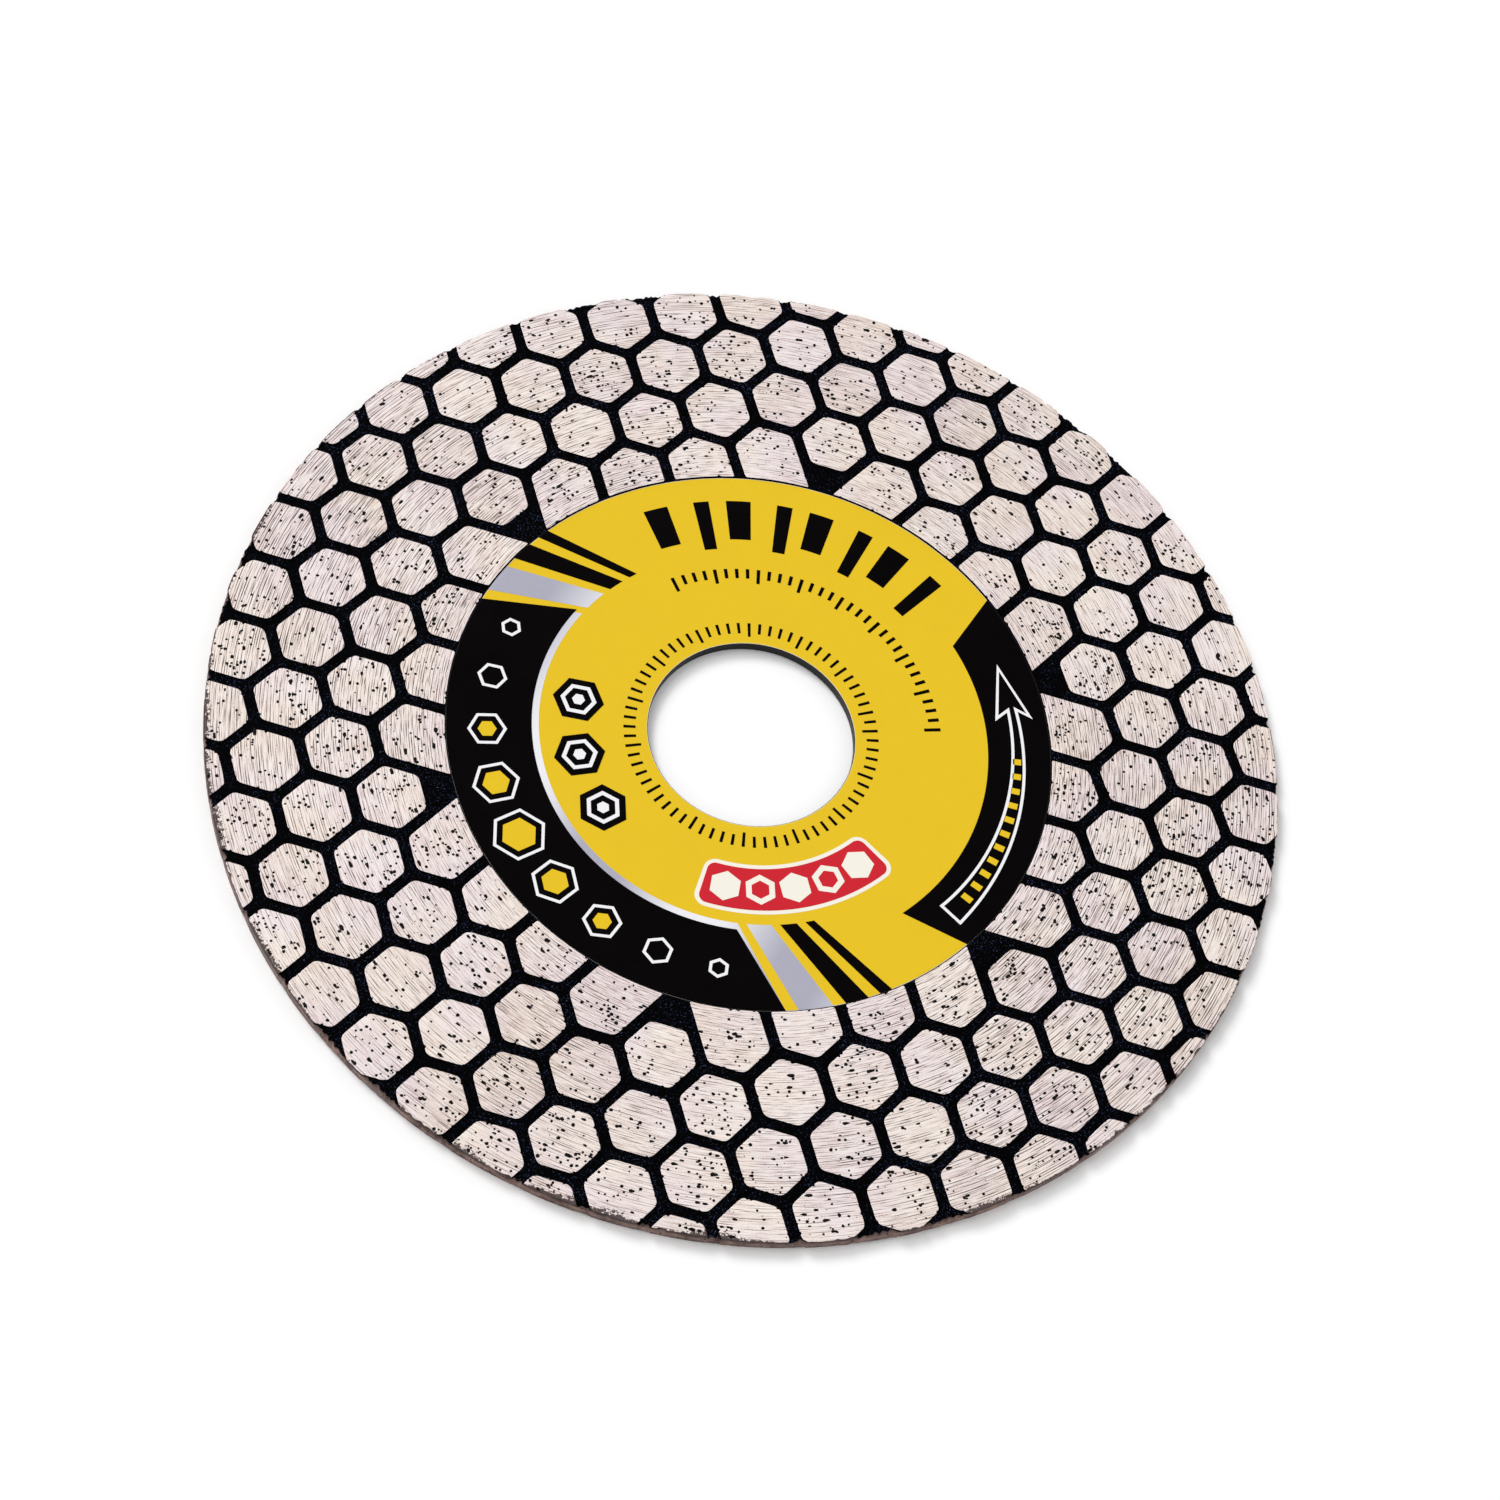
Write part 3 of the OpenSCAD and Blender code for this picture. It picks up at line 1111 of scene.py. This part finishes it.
def roundedSector(look, grow=0.0):
    inner, outer = look["inner"] - grow, look["outer"] + grow
    corner = look["corner"] + grow
    atInner = math.degrees(math.asin(corner / (inner + corner)))
    atOuter = math.degrees(math.asin(corner / (outer - corner)))
    pad = math.degrees(grow / (0.5 * (inner + outer)))
    first, last = look["from"] - pad, look["to"] + pad
    outsideTurns = arcPoints(outer, first + atOuter, last - atOuter)[1:-1]
    insideTurns = arcPoints(inner, last - atInner, first + atInner)[1:-1]
    corners = [
        (outer - corner, first + atOuter, first - 90, outsideTurns),
        (outer - corner, last - atOuter, last, []),
        (inner + corner, last - atInner, last + 90, insideTurns),
        (inner + corner, first + atInner, first + 180, []),
    ]
    loop = []
    for radius, angle, start, following in corners:
        loop += arcPoints(corner, start, start + 90, polar(radius, angle), 10) + following
    return loop


printed("badgeEdge", [roundedSector(badge, badge["edge"])], 0, 1, creamInk)
printed("badgeField", [roundedSector(badge)], 1, 2, redInk)
cells = []
for k, cell in enumerate(cellRow(badgeCells, [badgeCells["size"]] * badgeCells["count"])):
    cells += outlined(cell, badgeCells["line"]) if k % 2 else [cell]  # whole and outlined in turn
printed("badgeCells", cells, 2, 3, creamInk)

boldBlocks = {"count": 8, "first": 28, "step": 9.2, "outerR": 29.4,
              "narrow": (23.2, 3.4), "wide": (24.4, 5.4)}  # inner radius, and width in degrees

blocks = []
for k in range(boldBlocks["count"]):
    start = boldBlocks["first"] + boldBlocks["step"] * k
    innerR, width = boldBlocks["wide" if k % 2 else "narrow"]
    blocks.append(sector(innerR, boldBlocks["outerR"], start, start + width))
printed("boldBlocks", blocks, 0, 1, blackInk)

roundCells = {"count": 3, "radius": 18.7, "first": 156, "step": 20.5,
              "size": 2.75, "ring": 1.95, "line": 0.42, "core": 0.7}

outers, inners, cores = [cellRow(roundCells, [roundCells[part]] * roundCells["count"])
                         for part in ("size", "ring", "core")]
rings = []
for cell, middle in zip(inners, cores):
    rings += outlined(cell, roundCells["line"]) + [middle]
printed("roundCells", outers, 0, 2, blackInk)
printed("roundCellRings", rings, 2, 3, whiteInk)

boreTicks = {"count": 72, "step": 5, "from": -0.7, "to": 0.7,
             "innerR": 12.4, "longR": 12.0, "every": 5, "outerR": 13.7, "taper": 0}
dialTicks = {"count": 33, "step": 3.4, "from": -10.5, "to": -9.4,
             "innerR": 19.4, "longR": 18.8, "every": 4, "outerR": 20.6, "taper": 0}
printed("fineTicks", rowOfBars(boreTicks) + rowOfBars(dialTicks), 0, 1, blackInk)
print("label printed")


def addTable(size, z, finish):
    mesh = bpy.data.meshes.new("table")
    corners = [(-size, -size, z), (size, -size, z), (size, size, z), (-size, size, z)]
    mesh.from_pydata(corners, [], [(0, 1, 2, 3)])
    mesh.materials.append(finish)
    return addObject("table", mesh)


tableSizes = {"half": 3.0, "below": 0.002 * mm, "white": 0.93, "glow": 0.1}


def backgroundRays(tree):
    # 1 for rays that show the white background: from the camera, off gloss and through glass
    rays = put(tree, "LightPath").outputs
    shown = calc(tree, "MAXIMUM", rays["Is Camera Ray"], rays["Is Glossy Ray"])
    return calc(tree, "MAXIMUM", shown, rays["Is Transmission Ray"])


def whiteTable():
    material, tree, shader = startFinish("whiteTable", {"roughness": 0.8, "specular": 0.1})
    shader.inputs["Base Color"].default_value = [tableSizes["white"]] * 3 + [1]
    strength = times(tree, backgroundRays(tree), tableSizes["glow"])
    glow = put(tree, "Emission", {"Color": (1, 1, 1, 1), "Strength": strength})
    both = put(tree, "AddShader", {0: shader.outputs[0], 1: glow.outputs[0]})
    tree.links.new(both.outputs[0], tree.nodes["Material Output"].inputs["Surface"])
    return material


table = addTable(tableSizes["half"], cadBox[0][2] - tableSizes["below"], whiteTable())

lightSizes = {
    "skyHigh": 0.36,
    "skyLow": 0.78,
    # directions and spread in degrees, and share of a white table's level
    "lowSun": {"from": 112, "above": 42, "spread": 22, "share": 0.30},
    "highSun": {"from": 135, "above": 62, "spread": 36, "share": 0.22},
}


def addSun(name, look):
    lamp = bpy.data.lights.new(name, "SUN")
    lamp.angle = math.radians(look["spread"])
    above = math.radians(look["above"])
    lamp.energy = look["share"] * math.pi / math.sin(above)
    sun = addObject(name, lamp)
    side = math.radians(look["from"])
    level = math.cos(above)
    towards = Vector((math.cos(side) * level, math.sin(side) * level, math.sin(above)))
    sun.rotation_euler = towards.to_track_quat("Z", "Y").to_euler()


for name in ("lowSun", "highSun"):
    addSun(name, lightSizes[name])

world = bpy.data.worlds.new("studio")
scene.world = world
world.use_nodes = True
sky = world.node_tree
sky.nodes.clear()
skyPlace = put(sky, "TexCoord").outputs["Generated"]
skyHeight = put(sky, "SeparateXYZ", {0: skyPlace}).outputs[2]
level = spread(sky, skyHeight, 0.0, 1.0, lightSizes["skyLow"], lightSizes["skyHigh"])
strength = calc(sky, "MAXIMUM", level, backgroundRays(sky))
dome = put(sky, "Background", {"Color": (1, 1, 1, 1), "Strength": strength})
put(sky, "OutputWorld", {"Surface": dome.outputs[0]})

cameraSizes = {"aim": (-0.8 * mm, -2.0 * mm, 1.6 * mm), "distance": 369.4 * mm, "nearest": 0.01,
               "azimuth": -31.24, "elevation": 59.25, "roll": 17.34, "lens": 83.88, "sensor": 36}


def addCamera():
    look = cameraSizes
    azimuth, elevation = math.radians(look["azimuth"]), math.radians(look["elevation"])
    back = Vector((math.sin(azimuth) * math.cos(elevation), -math.cos(azimuth) * math.cos(elevation),
                   math.sin(elevation)))
    level = Vector((0, 0, 1)).cross(back).normalized()
    upright = back.cross(level)
    roll = math.radians(look["roll"])
    right = level * math.cos(roll) + upright * math.sin(roll)
    up = back.cross(right)
    lens = bpy.data.cameras.new("camera")
    lens.lens = look["lens"]
    lens.sensor_width = look["sensor"]
    lens.clip_start = look["nearest"]
    camera = addObject("camera", lens)
    turned = Matrix((right, up, back)).transposed().to_4x4()
    camera.matrix_world = Matrix.Translation(Vector(look["aim"]) + back * look["distance"]) @ turned
    scene.camera = camera


addCamera()
scene.view_settings.view_transform = "Standard"
print("stage, light and camera set")
